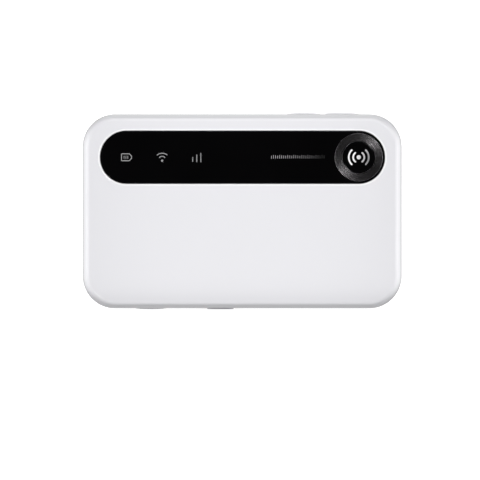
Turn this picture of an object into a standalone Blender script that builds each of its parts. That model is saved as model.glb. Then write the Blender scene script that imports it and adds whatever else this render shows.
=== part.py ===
"""Mobile hotspot: a flat pocket router lying on its back, face up.

Frame: +Z up out of the face, +X along the long side, +Y towards the edge that carries the keys.
The origin is on the resting surface, under the middle of the case.
Every dimension below is in millimetres; the helpers turn them into Blender's metres.
"""

import math

import bmesh
import bpy
from mathutils import Vector

MM = 0.001

# Case
CASE_X = 120.0
CASE_Y = 73.1
CASE_CORNER = 12.3
CASE_BACK = 0.5
CASE_FACE = 16.5
PARTING_Z = 6.0
PARTING_GAP = 0.15
SIDE_WALL = 1.6
FACE_WALL = 1.5
BACK_WALL = 1.4
FACE_ROUND = 3.0
BACK_ROUND = 3.5
LIP = 0.8
LIP_RISE = 1.3
FIT = 0.3
SEAM = 0.15

# Window, with the round emblem at its right end
WINDOW_X = 107.0
WINDOW_Y = 19.8
WINDOW_CENTRE = (0.1, 20.3)
WINDOW_FLOOR = 15.2
WINDOW_FLOOR_WALL = 1.2
WINDOW_THICK = 0.95
EMBLEM_CENTRE = (43.8, 20.3)
EMBLEM_RING_R = 8.95
EMBLEM_DISC_R = 6.1
EMBLEM_RISE = 0.35

# Indicators
INDICATOR_X = {"battery_led": -43.4, "wireless_led": -30.1, "signal_led": -17.1}
INDICATOR_Y = 20.3
INDICATOR_PITCH = 13.15
INDICATOR_MID_X = -30.2
INDICATOR_HOLE = (5.2, 4.6)

# Keys and openings on the edges
PORT_Z = 9.5
KEY_X = {"power": 37.6, "function": 23.1}
KEY_WIDTH = 12.6
KEY_HEIGHT = 3.0
KEY_PROUD = 0.5
USB_X = -8.2
USB_BEZEL = (9.9, 4.2)
USB_SHELL = (8.94, 3.26)
USB_MOUTH = (8.34, 2.56)
USB_LENGTH = 7.2
SIM_X = -34.4
SIM_BEZEL = (13.2, 2.6)
TRIM_PROUD = 0.3
NANO_SIM = (8.8, 12.3, 0.67)
RESET_X = 14.0
RESET_HOLE_R = 0.6

# Board and what it carries
BOARD_LOW = 11.4
BOARD_THICK = 1.0
BOARD_X = 106.0
BOARD_Y_LOW = -32.8
BOARD_Y_HIGH = 31.0
BOARD_TOP = BOARD_LOW + BOARD_THICK
BOARD_FILM = 0.1

# Battery bay
BATTERY = (90.0, 41.0, 5.5)
BATTERY_CENTRE = (0.0, 6.5)
BATTERY_LOW = 2.5
BAY_WALL = 1.0
BAY_ROOM = 0.4
LEAD_X = 30.0
LEAD_PITCH = 2.0
FRAME_LOW = 8.4
FRAME_THICK = 0.8

# Screws
CASE_SCREW_AT = [(-50.0, -27.5), (50.0, -27.5), (-50.0, 27.5), (50.0, 27.5)]
BOARD_SCREW_AT = [(-40.0, -6.0), (40.0, -6.0), (-38.0, 27.0), (8.0, 27.0)]
BOSS_R = 2.5

# Rubber strips under the back
STRIP = (106.0, 6.0)
STRIP_GROOVE = 0.6

COLLECTION = "mobile_hotspot"
CUTTERS = "cutters"


def clear_scene():
    for thing in list(bpy.data.objects):
        bpy.data.objects.remove(thing)


def collection(name):
    found = bpy.data.collections.get(name)
    if found is None:
        found = bpy.data.collections.new(name)
        bpy.context.scene.collection.children.link(found)
    return found


def material(name, colour, roughness, metallic=0.0):
    made = bpy.data.materials.new(name)
    made.use_nodes = True
    shader = made.node_tree.nodes["Principled BSDF"]
    shader.inputs["Base Color"].default_value = (*colour, 1.0)
    shader.inputs["Roughness"].default_value = roughness
    shader.inputs["Metallic"].default_value = metallic
    return made


# ---------------------------------------------------------------- shapes

def finish_object(name, bm, location, rotation, finish):
    """Turns a bmesh in metres into an object: a sub-part if it has a finish, else a hidden tool."""
    bmesh.ops.remove_doubles(bm, verts=bm.verts, dist=1e-6)
    mesh = bpy.data.meshes.new(name)
    bm.to_mesh(mesh)
    bm.free()
    made = bpy.data.objects.new(name, mesh)
    made.location = Vector(location) * MM
    made.rotation_euler = rotation
    collection(COLLECTION if finish else CUTTERS).objects.link(made)
    if finish:
        mesh.materials.append(finish)
    else:
        made.hide_render = True
        made.display_type = "WIRE"
    return made


def rim_edges(bm, level):
    """The edges of the flat end face at height `level`."""
    return [e for e in bm.edges
            if all(abs(v.co.z - level) < 1e-7 for v in e.verts)
            and any(abs(f.normal.z) < 0.5 for f in e.link_faces)]


def prism(name, size, centre, corner=0.0, top=0.0, bottom=0.0, axis="Z",
          corner_steps=4, edge_steps=3, finish=None):
    """A block `size` (across, across, along its axis) with rounded corners and softened end edges."""
    across, deep, tall = (n * MM for n in size)
    bm = bmesh.new()
    bmesh.ops.create_cube(bm, size=1.0)
    bmesh.ops.scale(bm, vec=(across, deep, tall), verts=bm.verts)
    if corner:
        upright = [e for e in bm.edges if abs(e.verts[0].co.z - e.verts[1].co.z) > tall / 2]
        bmesh.ops.bevel(bm, geom=upright, offset=corner * MM * 0.9995, offset_type="OFFSET",
                        segments=corner_steps, profile=0.5, affect="EDGES")
    bm.normal_update()
    for radius, level in ((top, tall / 2), (bottom, -tall / 2)):
        if radius:
            bmesh.ops.bevel(bm, geom=rim_edges(bm, level), offset=radius * MM, offset_type="OFFSET",
                            segments=edge_steps, profile=0.5, affect="EDGES")
            bm.normal_update()
    turn = (-math.pi / 2, 0.0, 0.0) if axis == "Y" else (0.0, 0.0, 0.0)
    return finish_object(name, bm, centre, turn, finish)


def upright_prism(name, size_xy, low, high, centre_xy=(0.0, 0.0), **more):
    """A prism along Z, given by its lowest and highest level."""
    size = (*size_xy, high - low)
    return prism(name, size, (*centre_xy, (low + high) / 2), **more)


def edge_prism(name, size_xz, y_low, y_high, x, z=PORT_Z, **more):
    """A prism along Y, given by where it starts and ends."""
    size = (*size_xz, y_high - y_low)
    return prism(name, size, (x, (y_low + y_high) / 2, z), axis="Y", **more)


def drum(name, radius, low, high, centre_xy, sides=24, axis="Z", z=PORT_Z, finish=None):
    """A cylinder along Z, or along Y at height z when axis is Y."""
    bm = bmesh.new()
    bmesh.ops.create_cone(bm, cap_ends=True, segments=sides, radius1=radius * MM,
                          radius2=radius * MM, depth=(high - low) * MM)
    middle = (low + high) / 2
    if axis == "Y":
        return finish_object(name, bm, (centre_xy[0], middle, z), (-math.pi / 2, 0.0, 0.0), finish)
    return finish_object(name, bm, (*centre_xy, middle), (0.0, 0.0, 0.0), finish)


def turned(name, profile, centre, finish, steps=48):
    """A solid of revolution about Z: the profile is (radius, height) points, outer side downwards."""
    mesh = bpy.data.meshes.new(name)
    points = [(r * MM, 0.0, z * MM) for r, z in profile]
    edges = [(i, i + 1) for i in range(len(points) - 1)]
    closed = profile[0][0] > 0.0
    if closed:
        edges.append((len(points) - 1, 0))
    mesh.from_pydata(points, edges, [])
    mesh.materials.append(finish)
    made = bpy.data.objects.new(name, mesh)
    made.location = Vector(centre) * MM
    collection(COLLECTION).objects.link(made)
    screw = made.modifiers.new("turn", "SCREW")
    screw.steps = steps
    screw.render_steps = steps
    screw.use_merge_vertices = True
    screw.merge_threshold = 0.000001
    screw.use_smooth_shade = True
    return made


def boolean(target, tool, operation):
    step = target.modifiers.new(tool.name, "BOOLEAN")
    step.operation = operation
    step.object = tool
    step.solver = "EXACT"


def cut(target, *tools):
    for tool in tools:
        boolean(target, tool, "DIFFERENCE")


def join(target, *tools):
    for tool in tools:
        boolean(target, tool, "UNION")


def tube(name, points, radius, finish):
    """A wire: a smooth route through the points, sampled every 2.5 diameters."""
    route = smooth_route([Vector(p) for p in points], radius * 5.0)
    data = bpy.data.curves.new(name, "CURVE")
    data.dimensions = "3D"
    data.bevel_depth = radius * MM
    data.bevel_resolution = 2
    data.use_fill_caps = True
    spline = data.splines.new("POLY")
    spline.points.add(len(route) - 1)
    for point, place in zip(spline.points, route):
        point.co = (*(place * MM), 1.0)
    made = bpy.data.objects.new(name, data)
    data.materials.append(finish)
    collection(COLLECTION).objects.link(made)
    return made


def smooth_route(points, spacing):
    """A Catmull-Rom curve through the points, read at about even spacing."""
    ends = [points[0] * 2 - points[1]] + points + [points[-1] * 2 - points[-2]]
    fine = []
    for a, b, c, d in zip(ends, ends[1:], ends[2:], ends[3:]):
        for i in range(20):
            t = i / 20
            fine.append(0.5 * (2 * b + (c - a) * t + (2 * a - 5 * b + 4 * c - d) * t ** 2
                               + (3 * b - a - 3 * c + d) * t ** 3))
    fine.append(points[-1])
    kept = [fine[0]]
    for place in fine[1:-1]:
        if (place - kept[-1]).length >= spacing and (place - fine[-1]).length >= spacing / 2:
            kept.append(place)
    return kept + [fine[-1]]


def leaf(name, profile, width, thickness, x, y, turn, finish):
    """A bent strip of sheet: the profile is (along, up) points, swept across its width."""
    bm = bmesh.new()
    line = [bm.verts.new((a * MM, -width / 2 * MM, u * MM)) for a, u in profile]
    edges = [bm.edges.new(pair) for pair in zip(line, line[1:])]
    swept = bmesh.ops.extrude_edge_only(bm, edges=edges)["geom"]
    moved = [g for g in swept if isinstance(g, bmesh.types.BMVert)]
    bmesh.ops.translate(bm, vec=(0.0, width * MM, 0.0), verts=moved)
    bmesh.ops.recalc_face_normals(bm, faces=bm.faces)
    made = finish_object(name, bm, (x, y, 0.0), (0.0, 0.0, turn), finish)
    sheet = made.modifiers.new("sheet", "SOLIDIFY")
    sheet.thickness = thickness * MM
    sheet.offset = 0.0
    return made


# ---------------------------------------------------------------- case

def front_shell(white):
    """Face and upper side walls: a moulded tray that opens downwards."""
    shell = upright_prism("front_shell", (CASE_X, CASE_Y), PARTING_Z + PARTING_GAP, CASE_FACE,
                          corner=CASE_CORNER, top=FACE_ROUND, corner_steps=10, edge_steps=5,
                          finish=white)
    inner = (CASE_X - 2 * SIDE_WALL, CASE_Y - 2 * SIDE_WALL)
    cut(shell, upright_prism("front_cavity", inner, PARTING_Z - 1.0, CASE_FACE - FACE_WALL,
                             corner=CASE_CORNER - SIDE_WALL, top=1.5, corner_steps=10))
    rebate = (CASE_X - 2 * LIP, CASE_Y - 2 * LIP)
    cut(shell, upright_prism("front_rebate", rebate, PARTING_Z - 1.0, PARTING_Z + LIP_RISE + 0.2,
                             corner=CASE_CORNER - LIP, corner_steps=10))
    join(shell, window_floor())
    for index, place in enumerate(CASE_SCREW_AT):
        join(shell, drum(f"front_boss_{index}", BOSS_R, 3.7, CASE_FACE - 1.0, place, sides=16))
        cut(shell, drum(f"front_pilot_{index}", 1.0, 2.0, 12.0, place, sides=12))
    cut(shell, window_pocket(), *indicator_holes("indicator_hole", INDICATOR_HOLE, 13.0, 16.0),
        light_groove(), *edge_openings())
    return shell


def window_floor():
    low = WINDOW_FLOOR - WINDOW_FLOOR_WALL
    size = (WINDOW_X + 3.6, WINDOW_Y + 3.6)
    return upright_prism("window_floor", size, low, CASE_FACE - 1.0, WINDOW_CENTRE,
                         corner=size[1] / 2, corner_steps=8)


def window_pocket():
    size = (WINDOW_X + 2 * SEAM, WINDOW_Y + 2 * SEAM)
    return upright_prism("window_pocket", size, WINDOW_FLOOR, CASE_FACE + 1.0, WINDOW_CENTRE,
                         corner=size[1] / 2, corner_steps=12)


def indicator_holes(name, size, low, high):
    return [upright_prism(f"{name}_{led}", size, low, high, (x, INDICATOR_Y), corner=0.8,
                          corner_steps=2)
            for led, x in INDICATOR_X.items()]


def light_groove():
    """The slot under the window floor in which the light guide's bar lies."""
    return upright_prism("light_groove", (2 * INDICATOR_PITCH + 6.0, 2.0), 13.0, 14.6,
                         (INDICATOR_MID_X, INDICATOR_Y))


def edge_openings():
    """Slots and holes through the side wall for the keys, the ports and the reset pin."""
    key_slots = [edge_prism(f"{key}_key_slot", (KEY_WIDTH + 2 * SEAM, KEY_HEIGHT + 2 * SEAM),
                            33.0, 39.0, x, corner=1.0, corner_steps=3)
                 for key, x in KEY_X.items()]
    usb = edge_prism("usb_slot", tuple(n + 2 * SEAM for n in USB_BEZEL), -39.0, -33.0, USB_X,
                     corner=USB_BEZEL[1] / 2 + SEAM, corner_steps=6)
    sim = edge_prism("sim_slot", tuple(n + 2 * SEAM for n in SIM_BEZEL), -39.0, -33.0, SIM_X,
                     corner=1.0, corner_steps=3)
    pin = drum("reset_hole", RESET_HOLE_R, -39.0, -33.0, (RESET_X, 0.0), sides=12, axis="Y")
    return [*key_slots, usb, sim, pin]


def rear_shell(white):
    """Back and lower side walls, with a lip that enters the front shell."""
    shell = upright_prism("rear_shell", (CASE_X, CASE_Y), CASE_BACK, PARTING_Z,
                          corner=CASE_CORNER, bottom=BACK_ROUND, corner_steps=10, edge_steps=5,
                          finish=white)
    lip_gap = LIP + 0.25
    lip = (CASE_X - 2 * lip_gap, CASE_Y - 2 * lip_gap)
    join(shell, upright_prism("rear_lip", lip, PARTING_Z - 1.0, PARTING_Z + LIP_RISE - 0.1,
                              corner=CASE_CORNER - lip_gap, corner_steps=10))
    inner = (CASE_X - 2 * SIDE_WALL, CASE_Y - 2 * SIDE_WALL)
    cut(shell, upright_prism("rear_cavity", inner, CASE_BACK + BACK_WALL, PARTING_Z + 4.0,
                             corner=CASE_CORNER - SIDE_WALL, bottom=2.0, corner_steps=10))
    for index, place in enumerate(CASE_SCREW_AT):
        join(shell, drum(f"rear_boss_{index}", 3.0, 1.0, 3.4, place, sides=16))
        cut(shell, drum(f"rear_counterbore_{index}", 1.8, 0.0, 2.5, place, sides=16),
            drum(f"rear_screw_hole_{index}", 1.0, 0.0, 5.0, place, sides=12))
    for index, y in enumerate((CASE_SCREW_AT[0][1], CASE_SCREW_AT[2][1])):
        size = tuple(n + 2 * SEAM for n in STRIP)
        cut(shell, upright_prism(f"strip_groove_{index}", size, 0.0, CASE_BACK + STRIP_GROOVE,
                                 (0.0, y), corner=size[1] / 2, corner_steps=5))
    cut(shell, upright_prism("label_recess", (64.6, 26.6), 0.0, CASE_BACK + 0.2, corner=1.5,
                             corner_steps=3))
    return shell


def rubber_strip(name, y, rubber):
    return upright_prism(name, STRIP, 0.0, CASE_BACK + STRIP_GROOVE - 0.2, (0.0, y),
                         corner=STRIP[1] / 2, bottom=0.3, corner_steps=5, edge_steps=2,
                         finish=rubber)


def case_screw(name, place, steel):
    """Pan head in the rear shell's counterbore, shank up into the front shell's boss."""
    profile = [(0.0, 11.0), (0.8, 10.4), (0.8, 2.2), (1.5, 2.2), (1.5, 1.5), (1.2, 1.3), (0.0, 1.3)]
    return turned(name, profile, (*place, 0.0), steel, steps=16)


# ---------------------------------------------------------------- window and emblem

def window_lens(gloss_black):
    lens = upright_prism("window_lens", (WINDOW_X, WINDOW_Y), CASE_FACE - WINDOW_THICK, CASE_FACE,
                         WINDOW_CENTRE, corner=WINDOW_Y / 2, top=0.15, corner_steps=12,
                         edge_steps=2, finish=gloss_black)
    cut(lens, drum("emblem_hole", EMBLEM_RING_R + SEAM, 10.0, 20.0, EMBLEM_CENTRE, sides=48))
    return lens


def window_tape(film):
    """Double-sided tape between the window and its pocket, open over the indicators."""
    low = WINDOW_FLOOR + 0.1
    tape = upright_prism("window_tape", (WINDOW_X - 1.0, WINDOW_Y - 1.0), low, low + 0.15,
                         WINDOW_CENTRE, corner=WINDOW_Y / 2 - 0.5, corner_steps=8, finish=film)
    cut(tape, drum("tape_emblem_hole", EMBLEM_RING_R + 0.1, 10.0, 20.0, EMBLEM_CENTRE, sides=32),
        *indicator_holes("tape_hole", (6.0, 5.4), 13.0, 17.0))
    return tape


def emblem_ring(spun_metal):
    """Spun ring: a flat annulus with a sloped inner lip, standing a little above the window."""
    top = CASE_FACE + EMBLEM_RISE
    low = WINDOW_FLOOR + 0.1
    outer = EMBLEM_RING_R
    inner = EMBLEM_DISC_R
    profile = [(outer - 0.1, top), (outer, top - 0.1), (outer, low), (inner + 0.1, low),
               (inner + 0.1, top - 0.2), (inner + 0.3, top)]
    return turned("emblem_ring", profile, (*EMBLEM_CENTRE, 0.0), spun_metal)


def emblem_disc(gloss_black):
    """Domed cap in the ring."""
    low = WINDOW_FLOOR + 0.1
    radius = EMBLEM_DISC_R - 0.05
    profile = [(0.0, CASE_FACE + 0.05), (radius * 0.6, CASE_FACE), (radius - 0.2, CASE_FACE - 0.1),
               (radius, CASE_FACE - 0.25), (radius, low), (0.0, low)]
    return turned("emblem_disc", profile, (*EMBLEM_CENTRE, 0.0), gloss_black)


# ---------------------------------------------------------------- keys and switches

def key(name, x, white):
    """Cap through the wall, flange behind it, rib towards its switch. Pressed along -Y."""
    outside = CASE_Y / 2
    cap = edge_prism(name, (KEY_WIDTH, KEY_HEIGHT), outside - 2.3, outside + KEY_PROUD, x,
                     corner=0.9, top=0.35, corner_steps=3, edge_steps=2, finish=white)
    flange = edge_prism(f"{name}_flange", (KEY_WIDTH + 1.6, KEY_HEIGHT + 1.2), 33.9, 34.65, x,
                        corner=0.8, corner_steps=2)
    rib = edge_prism(f"{name}_rib", (2.0, 1.6), 33.0, 34.2, x)
    join(cap, flange, rib)
    return cap


def side_switch(name, x, y_face, inward, black):
    """Right-angle tact switch under the board's edge, with a bore for its plunger."""
    back = y_face + inward * 2.9
    body = edge_prism(name, (4.6, 2.8), min(back, y_face), max(back, y_face), x, corner=0.3,
                      corner_steps=1, finish=black)
    bore = y_face + inward * 1.2
    mouth = y_face - inward * 1.0
    cut(body, drum(f"{name}_bore", 0.85, min(bore, mouth), max(bore, mouth), (x, 0.0), sides=16,
                   axis="Y"))
    return body


def switch_plunger(name, x, y_face, inward, tip, ivory):
    """Button of a switch, from inside its bore to the tip that the key or a pin pushes."""
    root = y_face + inward * 0.5
    return drum(name, 0.6, min(root, tip), max(root, tip), (x, 0.0), sides=16, axis="Y",
                finish=ivory)


# ---------------------------------------------------------------- USB-C and SIM

def usb_c_bezel(steel):
    outside = -CASE_Y / 2
    bezel = edge_prism("usb_c_bezel", USB_BEZEL, outside - TRIM_PROUD, outside + 1.4, USB_X,
                       corner=USB_BEZEL[1] / 2, corner_steps=6, finish=steel)
    cut(bezel, edge_prism("usb_bezel_hole", tuple(n + 0.2 for n in USB_SHELL), -40.0, -30.0,
                          USB_X, corner=USB_SHELL[1] / 2 + 0.1, corner_steps=6))
    return bezel


def usb_c_shell(steel):
    mouth = -CASE_Y / 2 - 0.05
    shell = edge_prism("usb_c_shell", USB_SHELL, mouth, mouth + USB_LENGTH, USB_X,
                       corner=USB_SHELL[1] / 2, corner_steps=6, finish=steel)
    cut(shell, edge_prism("usb_shell_hollow", USB_MOUTH, -40.0, -25.0, USB_X,
                          corner=USB_MOUTH[1] / 2, corner_steps=6))
    return shell


def usb_c_tongue(black):
    """Contact tongue and the moulded base that closes the back of the shell."""
    back = -CASE_Y / 2 + USB_LENGTH - 0.3
    base = edge_prism("usb_c_tongue", (USB_MOUTH[0] - 0.3, USB_MOUTH[1] - 0.3), back - 1.2, back,
                      USB_X, corner=0.9, corner_steps=3, finish=black)
    join(base, edge_prism("usb_tongue_plate", (6.7, 0.7), -35.4, back - 0.6, USB_X, corner=0.2,
                          corner_steps=1))
    return base


def sim_socket(steel):
    socket = edge_prism("sim_socket", (14.0, 2.9), -33.0, -17.6, SIM_X, z=9.6, corner=0.3,
                        corner_steps=1, finish=steel)
    cut(socket, edge_prism("sim_socket_hollow", (11.9, 1.9), -35.0, -18.5, SIM_X))
    return socket


def sim_tray(white):
    """Tray with an outside face; pulled out along -Y by the groove under that face."""
    outside = -CASE_Y / 2
    tray = edge_prism("sim_tray", SIM_BEZEL, outside - TRIM_PROUD, outside + 1.3, SIM_X,
                      corner=0.9, corner_steps=3, finish=white)
    join(tray, edge_prism("sim_tray_plate", (11.2, 1.2), outside + 1.0, -18.9, SIM_X))
    card_y = -26.2
    pocket = (NANO_SIM[0] + 0.4, NANO_SIM[1] + 0.4)
    ledge = (NANO_SIM[0] - 1.4, NANO_SIM[1] - 1.4)
    cut(tray, upright_prism("sim_pocket", pocket, 9.2, 11.0, (SIM_X, card_y), corner=0.6,
                            corner_steps=2),
        upright_prism("sim_window", ledge, 8.0, 11.0, (SIM_X, card_y), corner=0.6,
                      corner_steps=2),
        edge_prism("sim_nail_groove", (4.0, 0.6), outside - 2.0, outside + 0.3, SIM_X,
                   z=PORT_Z - 1.15))
    return tray


def sim_card(finish):
    return upright_prism("sim_card", NANO_SIM[:2], 9.3, 9.3 + NANO_SIM[2], (SIM_X, -26.2),
                         corner=0.8, corner_steps=2, finish=finish)


# ---------------------------------------------------------------- board

def main_board(laminate):
    board = upright_prism("main_board", (BOARD_X, BOARD_Y_HIGH - BOARD_Y_LOW), BOARD_LOW,
                          BOARD_TOP, (0.0, (BOARD_Y_LOW + BOARD_Y_HIGH) / 2), corner=6.0,
                          corner_steps=4, finish=laminate)
    for index, place in enumerate(CASE_SCREW_AT):
        cut(board, drum(f"board_boss_hole_{index}", BOSS_R + FIT, 10.0, 14.0, place, sides=16))
    for index, place in enumerate(BOARD_SCREW_AT):
        cut(board, drum(f"board_screw_hole_{index}", 1.0, 10.0, 14.0, place, sides=12))
    return board


def chip(name, size, centre, thick, black):
    low = BOARD_TOP + BOARD_FILM
    return upright_prism(name, size, low, low + thick, centre, corner=0.3, top=0.1,
                         corner_steps=1, edge_steps=1, finish=black)


def shield_can(name, size, centre, tall, tin):
    """Drawn lid over a group of chips, open towards the board."""
    low = BOARD_TOP + BOARD_FILM
    wall = 0.25
    can = upright_prism(name, size, low, low + tall, centre, corner=1.0, top=0.25,
                        corner_steps=3, edge_steps=2, finish=tin)
    cut(can, upright_prism(f"{name}_hollow", tuple(n - 2 * wall for n in size), low - 1.0,
                           low + tall - wall, centre, corner=0.8, corner_steps=3))
    return can


def board_screw(name, place, steel):
    profile = [(0.0, 13.3), (1.2, 13.2), (1.5, 12.9), (1.5, 12.5), (0.7, 12.5), (0.7, 9.8),
               (0.0, 9.4)]
    return turned(name, profile, (*place, 0.0), steel, steps=16)


def indicator_led(name, x, ivory):
    low = BOARD_TOP + BOARD_FILM
    return upright_prism(name, (1.6, 0.8), low, low + 0.5, (x, INDICATOR_Y), top=0.1,
                         edge_steps=1, finish=ivory)


def light_guide(clear):
    """One clear moulding: a bar with a block under each pictogram."""
    guide = upright_prism("light_guide", (2 * INDICATOR_PITCH + 4.0, 1.4), 13.95, 14.45,
                          (INDICATOR_MID_X, INDICATOR_Y), finish=clear)
    join(guide, *indicator_holes("light_block", (4.7, 4.1), 13.4, 15.1))
    return guide


def light_baffle(black):
    """Foam wall that keeps each indicator's light in its own cell."""
    baffle = upright_prism("light_baffle", (2 * INDICATOR_PITCH + 10.0, 8.4),
                           BOARD_TOP + BOARD_FILM, 13.8, (INDICATOR_MID_X, INDICATOR_Y),
                           corner=1.0, corner_steps=2, finish=black)
    cut(baffle, *indicator_holes("baffle_cell", (6.2, 5.6), 12.0, 15.0))
    return baffle


# ---------------------------------------------------------------- battery bay

def mid_frame(grey):
    """Chassis: battery bay that opens to the back, side bars round the case bosses, standoffs."""
    top = FRAME_LOW + FRAME_THICK
    bay = (BATTERY[0] + 2 * BAY_ROOM, BATTERY[1] + 2 * BAY_ROOM)
    outer = tuple(n + 2 * BAY_WALL for n in bay)
    frame = upright_prism("mid_frame", outer, 2.3, top, BATTERY_CENTRE, corner=2.4,
                          corner_steps=3, finish=grey)
    for side in (-1, 1):
        join(frame, upright_prism(f"frame_bar_{side}", (8.0, 62.0), FRAME_LOW, top,
                                  (side * 49.5, 0.0), corner=3.0, corner_steps=3))
    lead_notch = upright_prism("lead_notch", (5.0, 4.0), 1.0, FRAME_LOW,
                               (LEAD_X, BATTERY_CENTRE[1] - outer[1] / 2))
    cut(frame, upright_prism("battery_bay", bay, 1.0, FRAME_LOW, BATTERY_CENTRE, corner=1.6,
                             corner_steps=3), lead_notch)
    for index, place in enumerate(CASE_SCREW_AT):
        cut(frame, drum(f"frame_boss_hole_{index}", BOSS_R + FIT, 1.0, 12.0, place, sides=16))
    for index, place in enumerate(BOARD_SCREW_AT):
        join(frame, drum(f"frame_standoff_{index}", 2.0, top - 0.5, BOARD_LOW - 0.3, place,
                         sides=16))
        cut(frame, drum(f"frame_pilot_{index}", 0.95, 9.0, 13.0, place, sides=12))
    return frame


def battery_pack(foil):
    return upright_prism("battery_pack", BATTERY[:2], BATTERY_LOW, BATTERY_LOW + BATTERY[2],
                         BATTERY_CENTRE, corner=1.5, top=0.8, bottom=0.8, corner_steps=3,
                         finish=foil)


def battery_tape(film):
    low = BATTERY_LOW + BATTERY[2] + 0.1
    return upright_prism("battery_tape", (60.0, 24.0), low, low + 0.2, BATTERY_CENTRE,
                         corner=1.0, corner_steps=1, finish=film)


def antennas(carrier, plated):
    """Four moulded carriers round the inside of the case, each with a sprung contact."""
    side_size = (3.6, 36.0)
    for name, x in (("antenna_left", -56.2), ("antenna_right", 56.2)):
        upright_prism(name, side_size, 3.0, 13.8, (x, 0.0), corner=0.6, top=0.4,
                      corner_steps=2, edge_steps=1, finish=carrier)
    upright_prism("antenna_top", (50.0, 2.9), 3.0, 13.5, (-21.0, 33.05), corner=0.6, top=0.4,
                  corner_steps=2, edge_steps=1, finish=carrier)
    upright_prism("antenna_bottom", (26.0, 3.0), 3.0, 10.6, (33.0, -33.0), corner=0.6, top=0.4,
                  corner_steps=2, edge_steps=1, finish=carrier)
    spring = [(0.0, 10.9), (1.6, 10.9), (2.2, 10.5), (2.0, 10.0)]
    places = (("antenna_spring_left", -51.9, 8.0, math.pi), ("antenna_spring_right", 51.9, 8.0, 0.0),
              ("antenna_spring_top", -20.0, 29.2, math.pi / 2))
    for name, x, y, turn in places:
        leaf(name, spring, 1.4, 0.15, x, y, turn, plated)
    under = [(0.0, 11.15), (1.2, 11.15), (1.6, 11.0), (0.8, 10.8)]
    leaf("antenna_spring_bottom", under, 1.4, 0.12, 33.0, -31.6, -math.pi / 2, plated)


def battery_lead(red, black, ivory, housing):
    """Two wires from the pack's edge to a plug in its socket under the board."""
    socket_y = -22.0
    upright_prism("battery_socket", (6.0, 4.0), 10.0, 11.1, (LEAD_X, socket_y), corner=0.3,
                  corner_steps=1, finish=housing)
    upright_prism("battery_plug", (5.0, 3.0), 8.6, 9.7, (LEAD_X, socket_y), corner=0.3,
                  corner_steps=1, finish=ivory)
    start = BATTERY_CENTRE[1] - BATTERY[1] / 2 - 0.3
    for name, side, colour in (("battery_wire_plus", -1, red), ("battery_wire_minus", 1, black)):
        x = LEAD_X + side * LEAD_PITCH / 2
        tube(name, [(x, start, 5.2), (x, start - 1.8, 5.3), (x, start - 3.6, 6.4),
                    (x, start - 4.6, 8.2), (x, start - 5.9, 9.15)], 0.5, colour)


def build():
    clear_scene()
    white = material("white_gloss", (0.86, 0.86, 0.88), 0.28)
    gloss_black = material("window_black", (0.006, 0.006, 0.007), 0.06)
    spun_metal = material("spun_metal", (0.16, 0.16, 0.17), 0.3, 1.0)
    rubber = material("grey_rubber", (0.35, 0.35, 0.36), 0.8)
    steel = material("plated_steel", (0.62, 0.62, 0.63), 0.3, 1.0)
    tin = material("tinned_sheet", (0.7, 0.7, 0.71), 0.35, 1.0)
    black = material("black_moulding", (0.03, 0.03, 0.032), 0.5)
    grey = material("chassis_grey", (0.12, 0.12, 0.13), 0.55)
    ivory = material("ivory_moulding", (0.8, 0.77, 0.68), 0.45)
    film = material("tape_film", (0.05, 0.05, 0.05), 0.6)
    foil = material("pouch_foil", (0.55, 0.55, 0.57), 0.4)
    laminate = material("board_laminate", (0.02, 0.09, 0.06), 0.45)
    clear = material("clear_moulding", (0.9, 0.9, 0.9), 0.15)
    pad = material("silicone_pad", (0.45, 0.5, 0.62), 0.8)
    copper = material("antenna_carrier", (0.1, 0.1, 0.1), 0.5)
    gold = material("gold_plate", (0.8, 0.6, 0.25), 0.3, 1.0)
    paper = material("label_foil", (0.82, 0.82, 0.82), 0.5)
    red = material("wire_red", (0.55, 0.03, 0.03), 0.45)

    front_shell(white)
    rear_shell(white)
    rubber_strip("upper_rubber_strip", CASE_SCREW_AT[2][1], rubber)
    rubber_strip("lower_rubber_strip", CASE_SCREW_AT[0][1], rubber)
    upright_prism("rating_label", (64.0, 26.0), CASE_BACK + 0.02, CASE_BACK + 0.12, corner=1.2,
                  corner_steps=3, finish=paper)
    for index, place in enumerate(CASE_SCREW_AT, 1):
        case_screw(f"case_screw_{index}", place, steel)

    window_lens(gloss_black)
    window_tape(film)
    emblem_ring(spun_metal)
    emblem_disc(gloss_black)

    for name, x in KEY_X.items():
        key(f"{name}_key", x, white)
        side_switch(f"{name}_switch", x, 31.5, -1, black)
        switch_plunger(f"{name}_plunger", x, 31.5, -1, 32.7, ivory)
    side_switch("reset_switch", RESET_X, -32.6, 1, black)
    switch_plunger("reset_plunger", RESET_X, -32.6, 1, -33.6, ivory)

    usb_c_bezel(steel)
    usb_c_shell(steel)
    usb_c_tongue(black)
    sim_socket(steel)
    sim_tray(white)
    sim_card(paper)

    main_board(laminate)
    chip("modem_chip", (16.0, 16.0), (-14.0, -12.0), 0.7, black)
    chip("memory_chip", (11.5, 13.0), (6.0, -12.0), 0.8, black)
    chip("wifi_chip", (7.0, 7.0), (30.0, -12.0), 0.8, black)
    shield_can("modem_shield", (42.0, 22.0), (-5.0, -12.0), 1.5, tin)
    shield_can("wifi_shield", (16.0, 18.0), (30.0, -12.0), 1.5, tin)
    upright_prism("thermal_pad", (12.0, 12.0), 13.25, 13.65, (-14.0, -12.0), corner=0.5,
                  corner_steps=1, finish=pad)
    upright_prism("heat_spreader", (66.0, 26.0), 14.15, 14.6, (5.0, -12.0), corner=2.0,
                  corner_steps=3, finish=tin)
    for index, place in enumerate(BOARD_SCREW_AT, 1):
        board_screw(f"board_screw_{index}", place, steel)

    for name, x in INDICATOR_X.items():
        indicator_led(name, x, ivory)
    light_guide(clear)
    light_baffle(black)

    mid_frame(grey)
    battery_pack(foil)
    battery_tape(film)
    battery_lead(red, black, ivory, black)
    antennas(copper, gold)


build()
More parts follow.
